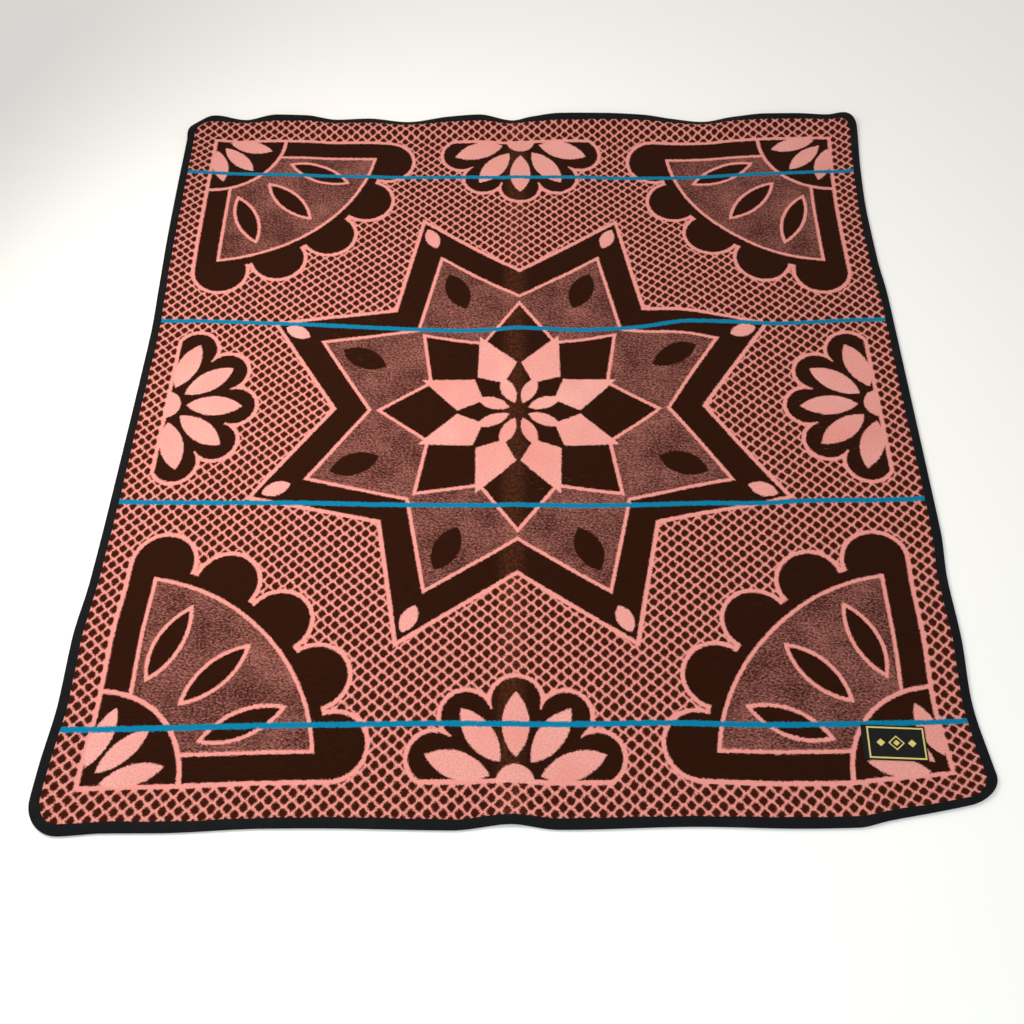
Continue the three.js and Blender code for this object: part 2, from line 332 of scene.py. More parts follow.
# Columns: name, place, what it aims at, size, power, colour
LIGHTS = [
    ("window_light", (-0.90, 0.09, 1.20), (1.0, -0.8, 0), (0.7, 0.7), 19.5, (1.0, 0.96, 0.89)),
    ("fill_light", (0.3, -2.3, 2.0), (0, 0, 0), (1.6, 1.6), 23, (0.68, 0.89, 1.0)),
    ("floor_light", (-0.3, 3.2, 1.7), (-0.3, 2.4, 0), (2.4, 0.8), 8, (1.0, 0.99, 0.97)),
]
for name, place, aim, size, power, colour in LIGHTS:
    data = bpy.data.lights.new(name, "AREA")
    data.shape = "RECTANGLE"
    data.size, data.size_y = size
    data.energy = power
    data.color = colour
    light = bpy.data.objects.new(name, data)
    bpy.context.scene.collection.objects.link(light)
    light.location = place
    light.rotation_euler = (Vector(aim) - Vector(place)).to_track_quat("-Z", "Y").to_euler()
    light.visible_camera = False

world = bpy.data.worlds.new("studio")
world.use_nodes = True
world.node_tree.nodes["Background"].inputs["Color"].default_value = (1.0, 0.99, 0.98, 1)
world.node_tree.nodes["Background"].inputs["Strength"].default_value = 0.62
bpy.context.scene.world = world
bpy.context.scene.view_settings.view_transform = "Standard"
print("floor and lights are in place")

# %% [markdown]
# The finishes are built from nodes. They could be placed by hand in the shader editor, but
# the design below needs hundreds. A small helper adds nodes to a tree and links them, so that
# a formula reads as a formula. An effect that is used more than once is a node group with
# named sockets.

# %% Helper for node trees
class Nodes:
    """Adds nodes to one tree. A value may be a socket, a number or a tuple."""

    def __init__(self, tree):
        self.tree = tree

    def put(self, socket, value):
        if isinstance(value, bpy.types.NodeSocket):
            self.tree.links.new(value, socket)
        elif value is not None:
            socket.default_value = value

    def add(self, kind, inputs=None, **settings):
        node = self.tree.nodes.new(kind)
        for name, value in settings.items():
            setattr(node, name, value)
        for name, value in (inputs or {}).items():
            self.put(node.inputs[name], value)
        return node

    def math(self, operation, a, b=None, c=None):
        node = self.add("ShaderNodeMath", operation=operation)
        for socket, value in zip(node.inputs, (a, b, c)):
            self.put(socket, value)
        return node.outputs[0]

    def vector(self, operation, a, b=None, scale=None):
        node = self.add("ShaderNodeVectorMath", operation=operation)
        self.put(node.inputs[0], a)
        self.put(node.inputs[1], b)
        if scale is not None:
            self.put(node.inputs["Scale"], scale)
        return node.outputs["Value" if operation in ("LENGTH", "DOT_PRODUCT") else "Vector"]

    def split(self, vector):
        return self.add("ShaderNodeSeparateXYZ", {"Vector": vector}).outputs

    def join(self, x, y, z=0.0):
        return self.add("ShaderNodeCombineXYZ", {"X": x, "Y": y, "Z": z}).outputs[0]

    def noise(self, place, scale, detail=2.0, roughness=0.5, output="Fac"):
        inputs = {"Vector": place, "Scale": scale, "Detail": detail, "Roughness": roughness}
        return self.add("ShaderNodeTexNoise", inputs).outputs[output]

    def spread(self, value, low, high, to_low=0.0, to_high=1.0):
        inputs = {"Value": value, "From Min": low, "From Max": high}
        inputs.update({"To Min": to_low, "To Max": to_high})
        return self.add("ShaderNodeMapRange", inputs, interpolation_type="SMOOTHSTEP").outputs[0]

    def mix(self, share, below, above):
        node = self.add("ShaderNodeMix", data_type="RGBA")
        self.put(node.inputs[0], share)
        self.put(node.inputs[6], below)
        self.put(node.inputs[7], above)
        return node.outputs[2]

    def group(self, tree, **inputs):
        node = self.add("ShaderNodeGroup", node_tree=tree)
        for name, value in inputs.items():
            self.put(node.inputs[name.replace("_", " ")], value)
        return node.outputs


def new_group(name, inputs, outputs):
    """A node group with named sockets. inputs holds name and default, outputs name and kind."""
    tree = bpy.data.node_groups.new(name, "ShaderNodeTree")
    for label, default in inputs.items():
        kind = "NodeSocketVector" if default is None else "NodeSocketFloat"
        socket = tree.interface.new_socket(label, in_out="INPUT", socket_type=kind)
        if default is not None:
            socket.default_value = default
    for label, kind in outputs.items():
        tree.interface.new_socket(label, in_out="OUTPUT", socket_type="NodeSocket" + kind)
    entry = tree.nodes.new("NodeGroupInput")
    leave = tree.nodes.new("NodeGroupOutput")
    return tree, Nodes(tree), entry.outputs, leave.inputs


def srgb(red, green, blue):
    """A colour as read from a screen, 0 to 255, turned into the linear light nodes expect."""
    linear = []
    for value in (red / 255, green / 255, blue / 255):
        linear.append(value / 12.92 if value <= 0.04045 else ((value + 0.055) / 1.055) ** 2.4)
    return (*linear, 1.0)


def new_finish(name, flat_map):
    """A material, its node helper, its shader and the place on the flat piece."""
    material = bpy.data.materials.new(name)
    material.use_nodes = True
    n = Nodes(material.node_tree)
    place = n.add("ShaderNodeUVMap", uv_map=flat_map).outputs[0]
    return material, n, material.node_tree.nodes["Principled BSDF"], place


def raise_threads(n, shader, height, strength, distance):
    bump = n.add("ShaderNodeBump", {"Height": height, "Strength": strength, "Distance": distance})
    n.put(shader.inputs["Normal"], bump.outputs[0])


print("node helpers are ready")

# %% [markdown]
# The figures of the design could be painted as a picture, but a picture blurs up close. So
# every figure is a signed distance: below zero inside the figure, above zero outside it, in
# metres. A figure that repeats round a centre is drawn once, in a folded wedge of the plane.
# Where the distance passes zero the colour changes, and adding to it makes an outline of an
# even width, as the weaver draws it.

# %% Node groups for the figures of the design
wedge_tree, n, given, out = new_group(
    "Folded wedge", {"Place": None, "Wedge": 45.0, "Turn": 0.0}, {"Place": "Vector"}
)
x, y, _ = n.split(given["Place"])
radius = n.vector("LENGTH", given["Place"])
step = n.math("RADIANS", given["Wedge"])
angle = n.math("ADD", n.math("ARCTAN2", y, x), n.math("RADIANS", given["Turn"]))
half_step = n.math("MULTIPLY", step, 0.5)
folded = n.math("SUBTRACT", n.math("FLOORED_MODULO", n.math("ADD", angle, half_step), step), half_step)
x = n.math("MULTIPLY", radius, n.math("COSINE", folded))
y = n.math("MULTIPLY", radius, n.math("SINE", folded))
n.put(out["Place"], n.join(x, y))

star_tree, n, given, out = new_group(
    "Star distance",
    {"Place": None, "Tip": 0.5, "Notch": 0.3, "Half wedge": 22.5},
    {"Distance": "Float"},
)
x, y, _ = n.split(given["Place"])
y = n.math("ABSOLUTE", y)
half = n.math("RADIANS", given["Half wedge"])
notch_x = n.math("MULTIPLY", given["Notch"], n.math("COSINE", half))
notch_y = n.math("MULTIPLY", given["Notch"], n.math("SINE", half))
run = n.math("SUBTRACT", given["Tip"], notch_x)
side = n.math("SQRT", n.math("ADD", n.math("MULTIPLY", run, run), n.math("MULTIPLY", notch_y, notch_y)))
along = n.math("MULTIPLY", n.math("SUBTRACT", x, given["Tip"]), notch_y)
n.put(out["Distance"], n.math("DIVIDE", n.math("MULTIPLY_ADD", y, run, along), side))

petal_tree, n, given, out = new_group(
    "Petal distance",
    {"Place": None, "Start": 0.1, "End": 0.2, "Half width": 0.03},
    {"Distance": "Float"},
)
x, y, _ = n.split(given["Place"])
middle = n.math("MULTIPLY", n.math("ADD", given["Start"], given["End"]), 0.5)
reach = n.math("MULTIPLY", n.math("SUBTRACT", given["End"], given["Start"]), 0.5)
width = given["Half width"]
squares = n.math("ADD", n.math("MULTIPLY", reach, reach), n.math("MULTIPLY", width, width))
bow = n.math("DIVIDE", squares, n.math("MULTIPLY", width, 2.0))
side = n.math("ADD", n.math("ABSOLUTE", y), n.math("SUBTRACT", bow, width))
reached = n.vector("LENGTH", n.join(n.math("SUBTRACT", x, middle), side))
n.put(out["Distance"], n.math("SUBTRACT", reached, bow))

scallop_tree, n, given, out = new_group(
    "Scalloped disc distance", {"Place": None, "Radius": 0.4, "Lobe": 0.05}, {"Distance": "Float"}
)
disc = n.math("SUBTRACT", n.vector("LENGTH", given["Place"]), given["Radius"])
from_lobe = n.vector("LENGTH", n.vector("SUBTRACT", given["Place"], n.join(given["Radius"], 0.0)))
n.put(out["Distance"], n.math("MINIMUM", disc, n.math("SUBTRACT", from_lobe, given["Lobe"])))

print("figures:", [tree.name for tree in (wedge_tree, star_tree, petal_tree, scallop_tree)])

# %% [markdown]
# The ground is a lattice: pink lines that cross, with a small dark lozenge in each mesh.
# Rows of lozenges are offset by half. Sharp lines would look printed. So the woven place
# shifts and steps the coordinates to whole threads, because a woven line can only change from
# one thread to the next, and the brushed fibres then blur that step a little.

# %% Node groups for the weave
LATTICE_PITCH_X = 0.0256
LATTICE_PITCH_Y = 0.0220
THREAD_X = 0.0018
THREAD_Y = 0.0020
LOZENGE_ROUNDNESS = 1.28
NOISE_SPAN = 4.0

woven_tree, n, given, out = new_group(
    "Woven place", {"Place": None, "Wobble": 0.0012, "Fuzz": 0.0022}, {"Place": "Vector"}
)


def strayed(place, amount, scale, detail, roughness):
    """The place, moved at random by up to about this much.

    Noise seldom strays further from its middle than 1 / NOISE_SPAN, so it is spread out again.
    """
    cloud = n.noise(given["Place"], scale, detail, roughness, "Color")
    either_way = n.vector("SUBTRACT", cloud, (0.5, 0.5, 0.5))
    reach = n.math("MULTIPLY", amount, NOISE_SPAN)
    return n.vector("ADD", place, n.vector("SCALE", either_way, scale=reach))


moved = strayed(given["Place"], given["Wobble"], scale=190, detail=2, roughness=0.6)
stepped = n.vector("SNAP", moved, (THREAD_X, THREAD_Y, 1.0))
fuzzy = strayed(stepped, given["Fuzz"], scale=520, detail=3, roughness=0.7)
x, y, _ = n.split(fuzzy)
n.put(out["Place"], n.join(x, y))

lattice_tree, n, given, out = new_group(
    "Lattice", {"Place": None, "Half width": 0.0077, "Half height": 0.0085}, {"Cell": "Float"}
)
x, y, _ = n.split(given["Place"])
cells = []
for offset in (0.0, 0.5):
    column = n.math("MULTIPLY_ADD", x, 1 / LATTICE_PITCH_X, offset)
    row = n.math("MULTIPLY_ADD", y, 1 / LATTICE_PITCH_Y, offset)
    dx = n.math("MULTIPLY", n.math("SUBTRACT", n.math("FRACT", column), 0.5), LATTICE_PITCH_X)
    dy = n.math("MULTIPLY", n.math("SUBTRACT", n.math("FRACT", row), 0.5), LATTICE_PITCH_Y)
    wide = n.math("DIVIDE", n.math("ABSOLUTE", dx), given["Half width"])
    high = n.math("DIVIDE", n.math("ABSOLUTE", dy), given["Half height"])
    wide = n.math("POWER", wide, LOZENGE_ROUNDNESS)
    high = n.math("POWER", high, LOZENGE_ROUNDNESS)
    cells.append(n.math("ADD", wide, high))
n.put(out["Cell"], n.spread(n.math("MINIMUM", *cells), low=1.30, high=0.76, to_low=0.06, to_high=0.89))

melange_tree, n, given, out = new_group("Melange", {"Place": None}, {"Share": "Float"})
slanted = n.add(
    "ShaderNodeMapping", {"Vector": given["Place"], "Rotation": (0, 0, 0.7), "Scale": (0.6, 1.0, 1.0)}
).outputs[0]
grain = n.noise(slanted, scale=340, detail=3, roughness=0.55)
drawn_out = n.vector("MULTIPLY", given["Place"], (0.12, 1.0, 1.0))
rows = n.noise(drawn_out, scale=240, detail=2, roughness=0.6)
cloud = n.noise(given["Place"], scale=12, detail=3, roughness=0.6)
mixed = n.math("MULTIPLY_ADD", rows, 0.3, n.math("MULTIPLY", cloud, 0.5))
mixed = n.math("MULTIPLY_ADD", grain, 1.25, mixed)
n.put(out["Share"], n.spread(mixed, low=0.80, high=1.44))

print("weave:", [tree.name for tree in (woven_tree, lattice_tree, melange_tree)])

# %% [markdown]
# The design itself is this lesson's own: an eight-pointed star in the middle, a scalloped
# fan in each corner and half a rosette at the middle of each side, dark on the pink lattice,
# with mottled fills and pink outlines. Each figure could have a mask and a mix of its own.
# Instead they are painted one over the other, so that the cells read like a drawing.

# %% Node group for the whole design
FIELD_X = 0.712
FIELD_Y = 0.757
OUTLINE = 0.008
FINE_OUTLINE = 0.007
PAINT_EDGE = 0.0005

design_tree, n, given, out = new_group(
    "Blanket design",
    {"Place": None},
    {"Pink": "Float", "Solid": "Float", "Mottled": "Float", "Stripe": "Float"},
)
place = n.group(woven_tree, Place=given["Place"])[0]
cell = n.group(lattice_tree, Place=place)[0]
nothing = n.math("MULTIPLY", cell, 0.0)
layers = {"Pink": n.math("SUBTRACT", 1.0, cell), "Solid": nothing, "Mottled": nothing}


def paint(kind, distance, inset=0.0):
    """Lays wool over the figure, this far in from its edge: line, solid, dark or mottled."""
    mask = n.spread(n.math("ADD", distance, inset), PAINT_EDGE, -PAINT_EDGE)
    bare = n.math("SUBTRACT", 1.0, mask)
    gains = {"line": ["Pink"], "solid": ["Pink", "Solid"], "dark": [], "mottled": ["Mottled"]}[kind]
    for name, layer in layers.items():
        if name in gains:
            layers[name] = n.math("MAXIMUM", layer, mask)
        else:
            layers[name] = n.math("MULTIPLY", layer, bare)


def paint_outlined(kind, distance, outline):
    paint("line", distance)
    paint(kind, distance, outline)


def wedge(centred, width, turn=0.0):
    return n.group(wedge_tree, Place=centred, Wedge=width, Turn=turn)[0]


def petals(centred, width, turn, start, end, half_width):
    folded = wedge(centred, width, turn)
    return n.group(petal_tree, Place=folded, Start=start, End=end, Half_width=half_width)[0]


def scallops(centred, width, turn, disc, lobe):
    return n.group(scallop_tree, Place=wedge(centred, width, turn), Radius=disc, Lobe=lobe)[0]


def within(distance, *limits):
    for limit in limits:
        distance = n.math("MAXIMUM", distance, limit)
    return distance


print("layers over the lattice:", list(layers))

# %% [markdown]
# The star in the middle is a nest of five stars, dark, mottled, dark, pink and dark, with a
# flower of eight petals at its heart. Sixteen corners could be typed in for each. One folded
# wedge of 45 degrees gives all eight points instead, and a turn of half a wedge sets the two
# inner dark stars between the points of the others.

# %% The star in the middle
EIGHTH = 45.0
TURNED = EIGHTH / 2


def star(turn, tip, notch):
    return n.group(star_tree, Place=wedge(place, EIGHTH, turn), Tip=tip, Notch=notch)[0]


paint_outlined("dark", star(TURNED, tip=0.560, notch=0.372), OUTLINE)
paint("solid", petals(place, EIGHTH, TURNED, start=0.470, end=0.528, half_width=0.015))
paint_outlined("mottled", star(TURNED, tip=0.445, notch=0.300), FINE_OUTLINE)
paint("dark", petals(place, EIGHTH, TURNED, start=0.292, end=0.392, half_width=0.025))
paint_outlined("dark", star(0, tip=0.284, notch=0.196), FINE_OUTLINE)
paint("solid", star(TURNED, tip=0.212, notch=0.118))
paint("dark", star(0, tip=0.130, notch=0.076))
paint("solid", petals(place, EIGHTH, TURNED, start=0.020, end=0.090, half_width=0.014))
print("design nodes with the star:", len(design_tree.nodes))

# %% [markdown]
# A fan fills each corner of the field: a scalloped quarter disc, a mottled one on it with
# three leaves, and a dark hub with pink petals. Four copies would have to be kept alike. So
# the plane is folded to a quarter first, by taking both measures without their sign.

# %% The fans in the corners
FAN_BORDER = 0.052
MOTTLED_RADIUS = 0.384
LEAF_MARGIN = 0.014
HUB_RADIUS = 0.170

across, along, _ = n.split(n.vector("ABSOLUTE", place))
in_x = n.math("SUBTRACT", FIELD_X, across)
in_y = n.math("SUBTRACT", FIELD_Y, along)
past_x = n.math("MULTIPLY", in_x, -1.0)
past_y = n.math("MULTIPLY", in_y, -1.0)
corner = n.join(in_x, in_y)
reach = n.vector("LENGTH", corner)

scalloped_fan = scallops(corner, width=18.0, turn=9.0, disc=0.412, lobe=0.064)
paint_outlined("dark", within(scalloped_fan, past_x, past_y), OUTLINE)
inset_x = n.math("ADD", past_x, FAN_BORDER)
inset_y = n.math("ADD", past_y, FAN_BORDER)
mottled_disc = n.math("SUBTRACT", reach, MOTTLED_RADIUS)
paint_outlined("mottled", within(mottled_disc, inset_x, inset_y), FINE_OUTLINE)
leaf_edge = (n.math("ADD", inset_x, LEAF_MARGIN), n.math("ADD", inset_y, LEAF_MARGIN))
leaves = petals(corner, width=22.5, turn=0, start=0.196, end=0.352, half_width=0.027)
paint_outlined("dark", within(leaves, *leaf_edge), FINE_OUTLINE)
paint_outlined("dark", within(n.math("SUBTRACT", reach, HUB_RADIUS), past_x, past_y), OUTLINE)
hub_petals = petals(corner, width=30.0, turn=15.0, start=0.040, end=0.142, half_width=0.018)
paint("solid", within(hub_petals, past_x, past_y))
print("design nodes with the fans:", len(design_tree.nodes))

# %% [markdown]
# Half a rosette stands at the middle of each side, cut off by the field's edge. Four blue
# stripes then run straight across everything, as they do on all blankets of this kind. They
# could be a fifth layer, but are put out apart, because they cover the worn crease band and its
# painted highlight as well.

# %% The rosettes and the stripes
STRIPE_PITCH = 0.434
FIRST_STRIPE = -0.656
STRIPE_HALF_WIDTH = 0.0049
STRIPE_EDGE = 0.0004
TENTH = 36.0
ROSETTE_HUB = 0.032

px, py, _ = n.split(place)
for middle, inward in ((n.join(in_x, py), past_x), (n.join(in_y, px), past_y)):
    rosette = scallops(middle, TENTH, 0, disc=0.142, lobe=0.050)
    paint_outlined("dark", within(rosette, inward), OUTLINE)
    rosette_petals = petals(middle, TENTH, 0, start=0.044, end=0.158, half_width=0.023)
    paint("solid", within(rosette_petals, inward))
    paint("solid", within(n.math("SUBTRACT", n.vector("LENGTH", middle), ROSETTE_HUB), inward))

from_stripe = n.math("WRAP", n.math("SUBTRACT", py, FIRST_STRIPE), -STRIPE_PITCH / 2, STRIPE_PITCH / 2)
from_stripe = n.math("SUBTRACT", n.math("ABSOLUTE", from_stripe), STRIPE_HALF_WIDTH)
n.put(out["Stripe"], n.spread(from_stripe, STRIPE_EDGE, -STRIPE_EDGE))
for name, layer in layers.items():
    n.put(out[name], layer)
print("design nodes:", len(design_tree.nodes))

# %% [markdown]
# Wool rubs where it is handled. Pale streaks of sheen are painted into the nap in a few
# patches, as a painted highlight. Along the storage crease the nap is worn to a brown band where
# the folded blanket bent, and that band also serves as a painted highlight along the ridge.
# Even marks would look like dirt, so noise breaks both up. The colours are values as read from a
# screen, turned linear by the helper.

# %% Colours, wear and painted sheen of the wool
DARK = srgb(37, 13, 3)
DARK_FIBRE = srgb(58, 28, 15)
RED_FUZZ = srgb(120, 46, 28)
PINK_LINE = srgb(226, 145, 135)
PINK = srgb(232, 158, 148)
PINK_PALE = srgb(238, 172, 162)
PINK_DEEP = srgb(229, 146, 134)
MOTTLED_LOW = srgb(58, 26, 18)
MOTTLED_HIGH = srgb(172, 108, 98)
PAINTED_SHEEN_COLOUR = srgb(206, 146, 132)
CREASE_WEAR_AND_HIGHLIGHT = srgb(206, 120, 84)
BLUE = srgb(5, 118, 153)
CLOTH_MAP = "cloth_metres"

MOST_PAINTED_SHEEN = 0.32
LEAST_CREASE_WEAR_AND_HIGHLIGHT = 0.01
MOST_CREASE_WEAR_AND_HIGHLIGHT = 0.095
BAND_EDGE = 0.034
BAND_CORE = 0.006


def painted_sheen_and_crease_wear(n, place):
    """How far pale sheen is painted in a few places, and the worn crease band with its painted
    highlight.
    """
    slant = {"Vector": place, "Rotation": (0, 0, 0.5), "Scale": (1.0, 5.0, 1.0)}
    slanted = n.add("ShaderNodeMapping", slant).outputs[0]
    # Pale streaks in a few patches: painted sheen, a painted highlight on the nap.
    streaks = n.spread(n.noise(slanted, scale=45, detail=3, roughness=0.7), 0.60, 0.78)
    patches = n.spread(n.noise(place, scale=2.6, detail=1, roughness=0.5), 0.58, 0.72)
    painted_sheen_share = n.math("MULTIPLY", n.math("MULTIPLY", streaks, patches), MOST_PAINTED_SHEEN)
    # The band along the storage crease is worn nap and also a painted highlight on its ridge.
    across = n.math("ABSOLUTE", n.math("SUBTRACT", n.split(place)[0], CREASE_AT))
    nap = n.noise(place, scale=150, detail=3, roughness=0.7)
    crease_wear_and_highlight_share = n.spread(nap, 0.35, 0.70, LEAST_CREASE_WEAR_AND_HIGHLIGHT, MOST_CREASE_WEAR_AND_HIGHLIGHT)
    crease = n.math("MULTIPLY", n.spread(across, BAND_EDGE, BAND_CORE), crease_wear_and_highlight_share)
    return painted_sheen_share, crease


print("worn band:", 2 * BAND_EDGE, "m wide, rubbed by", MOST_CREASE_WEAR_AND_HIGHLIGHT, "at most")

# %% [markdown]
# Brushed wool is matt and soft. Real hair would be heavy for a whole blanket, so the nap is a
# bump of fine fibres over slightly larger tufts, and each colour varies a little, as dyed
# fibre does. The pink is also painted darker where the tufts are low, a painted shade in the
# hollows of the nap. The back of the cloth shows the same design with dark and pink exchanged,
# as a two-colour weave does, so one function makes both materials.

# %% Wool material
def wool_material(name, turned_over):
    material, n, shader, place = new_finish(name, CLOTH_MAP)
    design = n.group(design_tree, Place=place)
    pink_share = n.math("SUBTRACT", 1.0, design["Pink"]) if turned_over else design["Pink"]

    fibre = n.noise(place, scale=1300, detail=3, roughness=0.65)
    tuft = n.noise(place, scale=330, detail=2, roughness=0.6)
    cloud = n.noise(place, scale=5.0, detail=3, roughness=0.5)
    drawn_out = n.vector("MULTIPLY", place, (0.2, 1.0, 1.0))
    rows = n.noise(drawn_out, scale=240, detail=3, roughness=0.7)
    lint = n.math("MULTIPLY_ADD", rows, 0.35, n.math("MULTIPLY", fibre, 0.85))
    dark = n.mix(n.spread(lint, 0.5, 0.95), DARK, DARK_FIBRE)
    pink = n.mix(n.spread(cloud, 0.5, 0.75), PINK, PINK_DEEP)
    pink = n.mix(n.spread(cloud, 0.5, 0.3), pink, PINK_PALE)
    # Painted shade: the pink darkens where the tufts of the nap are low.
    pink = n.mix(n.spread(tuft, 0.62, 0.36, to_high=0.35), pink, MOTTLED_HIGH)
    mottled = n.mix(n.group(melange_tree, Place=place)[0], MOTTLED_LOW, MOTTLED_HIGH)
    pink = n.mix(design["Solid"], PINK_LINE, pink)
    colour = n.mix(n.spread(pink_share, 0.0, 0.55), dark, RED_FUZZ)
    colour = n.mix(n.spread(pink_share, 0.25, 1.0), colour, pink)
    colour = n.mix(design["Mottled"], colour, mottled)
    # Painted sheen streaks, then the worn crease band with its painted highlight, over the wool.
    painted_sheen_share, crease = painted_sheen_and_crease_wear(n, place)
    colour = n.mix(crease, n.mix(painted_sheen_share, colour, PAINTED_SHEEN_COLOUR), CREASE_WEAR_AND_HIGHLIGHT)
    colour = n.mix(design["Stripe"], colour, BLUE)
    n.put(shader.inputs["Base Color"], colour)

    stretched = n.add("ShaderNodeMapping", {"Vector": place, "Scale": (1.0, 0.35, 1.0)}).outputs[0]
    strands = n.noise(stretched, scale=1500, detail=2, roughness=0.6)
    nap = n.math("MULTIPLY_ADD", strands, 0.6, n.math("MULTIPLY", tuft, 1.2))
    raise_threads(n, shader, nap, strength=0.75, distance=0.0011)
    shader.inputs["Roughness"].default_value = 0.95
    shader.inputs["Specular IOR Level"].default_value = 0.04
    shader.inputs["Sheen Weight"].default_value = 0.03
    shader.inputs["Sheen Roughness"].default_value = 0.5
    shader.inputs["Sheen Tint"].default_value = srgb(255, 206, 190)
    return material


wool_front = wool_material("wool_front", False)
wool_back = wool_material("wool_back", True)
print("wool:", wool_front.name, wool_back.name)

# %% [markdown]
# The cloth shows seven low creases from folding and handling. The rows of its weave run in
# slight waves, because a hand that smooths it out never draws it quite straight. A noise would
# put both anywhere, so the creases are given one by one and the waves follow a table. The waves
# shift only the design on the cloth.

# %% Creases and waves of the cloth
# Columns: start x, start y, end x, end y, height, half width
HAND_CREASES = [
    (-0.62, 0.612, 0.02, 0.603, 0.0012, 0.012),
    (0.02, 0.603, 0.60, 0.606, 0.0008, 0.012),
    (-0.52, -0.10, -0.12, -0.42, 0.0016, 0.070),
    (0.22, -0.46, 0.55, -0.62, 0.0020, 0.050),
    (0.30, 0.30, 0.66, 0.18, 0.0014, 0.080),
    (-0.66, 0.42, -0.34, 0.30, 0.0014, 0.075),
    (-0.60, -0.60, -0.22, -0.72, 0.0012, 0.060),
]

# Columns: place across, then how far the row of each stripe lies drawn to the far side there,
# from the nearest stripe to the farthest
ROW_WAVES = [
    (-0.775, -0.004, -0.005, -0.010, -0.004),
    (-0.650, -0.003, -0.004, -0.003, -0.006),
    (-0.460, 0.000, -0.002, -0.001, -0.005),
    (-0.260, 0.002, -0.004, -0.006, -0.004),
    (-0.120, 0.003, -0.005, -0.009, -0.003),
    (0.020, 0.000, -0.005, -0.001, -0.002),
    (0.130, 0.000, -0.007, -0.007, -0.003),
    (0.240, 0.001, -0.006, -0.002, -0.009),
    (0.350, -0.002, -0.004, 0.013, -0.008),
    (0.440, -0.004, -0.006, 0.007, -0.004),
    (0.550, -0.004, -0.002, -0.003, -0.002),
    (0.680, -0.005, -0.004, -0.001, -0.001),
    (0.775, -0.005, -0.003, -0.006, -0.006),
]


def row_waves(x, y):
    """How far a row of the weave lies off its straight course."""
    total = np.zeros_like(x)
    for stripe in range(len(ROW_WAVES[0]) - 1):
        off = np.abs(y - FIRST_STRIPE - stripe * STRIPE_PITCH) / STRIPE_PITCH
        total += read_table(ROW_WAVES, stripe + 1, x) * ease(1, 0, off)
    return total


def hand_creases(x, y):
    total = np.zeros_like(x)
    for start_x, start_y, end_x, end_y, height, half_width in HAND_CREASES:
        along = np.array([end_x - start_x, end_y - start_y])
        reach = np.hypot(*along)
        share = np.clip(((x - start_x) * along[0] + (y - start_y) * along[1]) / reach**2, 0, 1)
        away = np.hypot(x - start_x - share * along[0], y - start_y - share * along[1])
        ends = np.sin(math.pi * np.clip(share, 0.02, 0.98))
        total = np.maximum(total, height * ends * hump(away / half_width))
    return total


print("creases:", len(HAND_CREASES), "rows of waves:", len(ROW_WAVES))

# %% [markdown]
# Cloth and label are both flat pieces that start as a plain grid. What they share is kept in
# three helpers: one reads the points of a mesh, one writes its UV map in metres on the flat
# piece, so that the design bends with the cloth, and one gives the thickness with Solidify.

# %% Helpers for flat pieces
def read_points(mesh):
    points = np.empty(len(mesh.vertices) * 3)
    mesh.vertices.foreach_get("co", points)
    return points.reshape(-1, 3)


def map_in_metres(mesh, name, flat_x, flat_y):
    """Gives the mesh one UV map, in metres on the flat piece, and no other."""
    flat_map = mesh.uv_layers.new(name=name)
    corners = np.empty(len(mesh.loops), dtype=np.int32)
    mesh.loops.foreach_get("vertex_index", corners)
    pairs = np.stack([flat_x[corners], flat_y[corners]], 1).astype(np.float32)
    flat_map.uv.foreach_set("vector", pairs.ravel())
    for spare in [layer for layer in mesh.uv_layers if layer.name != name]:
        mesh.uv_layers.remove(spare)


def thicken(piece, thickness):
    solidify = piece.modifiers.new("thickness", "SOLIDIFY")
    solidify.thickness = thickness
    solidify.offset = 1
    bpy.ops.object.modifier_apply(modifier="thickness")


print("helpers for flat pieces are ready")

# %% [markdown]
# The cloth is the blanket itself, one heavy weave cut to a rectangle with round corners. A
# bevel would crowd the grid at a corner, so each corner block is drawn out to a quarter disc
# instead. Then every point is put where the tables say.

# %% The cloth, laid out
GRID_COLUMNS = 192
GRID_ROWS = 204
LABEL_PLACE = (0.623, -0.685)
CREASES_FULL = 0.070
FLAT_ROUND_LABEL = 0.050
CREASED_ROUND_LABEL = 0.120


def rounded(x, y, inset):
    """Draws the square corners of a grid out to quarter discs."""
    radius = CORNER_RADIUS - inset
    over_x = (np.abs(x) - (WIDTH / 2 - CORNER_RADIUS)) / radius
    over_y = (np.abs(y) - (LENGTH / 2 - CORNER_RADIUS)) / radius
    in_corner = (over_x > 0) & (over_y > 0)
    ring = np.where(in_corner, np.maximum(over_x, over_y), 1)
    share = np.where(in_corner, np.minimum(over_x, over_y), 0) / ring
    angle = math.pi / 4 * share
    angle = np.where(over_x >= over_y, angle, math.pi / 2 - angle)
    new_x = (ring * np.cos(angle) * radius + WIDTH / 2 - CORNER_RADIUS) * np.sign(x)
    new_y = (ring * np.sin(angle) * radius + LENGTH / 2 - CORNER_RADIUS) * np.sign(y)
    return np.where(in_corner, new_x, x), np.where(in_corner, new_y, y)


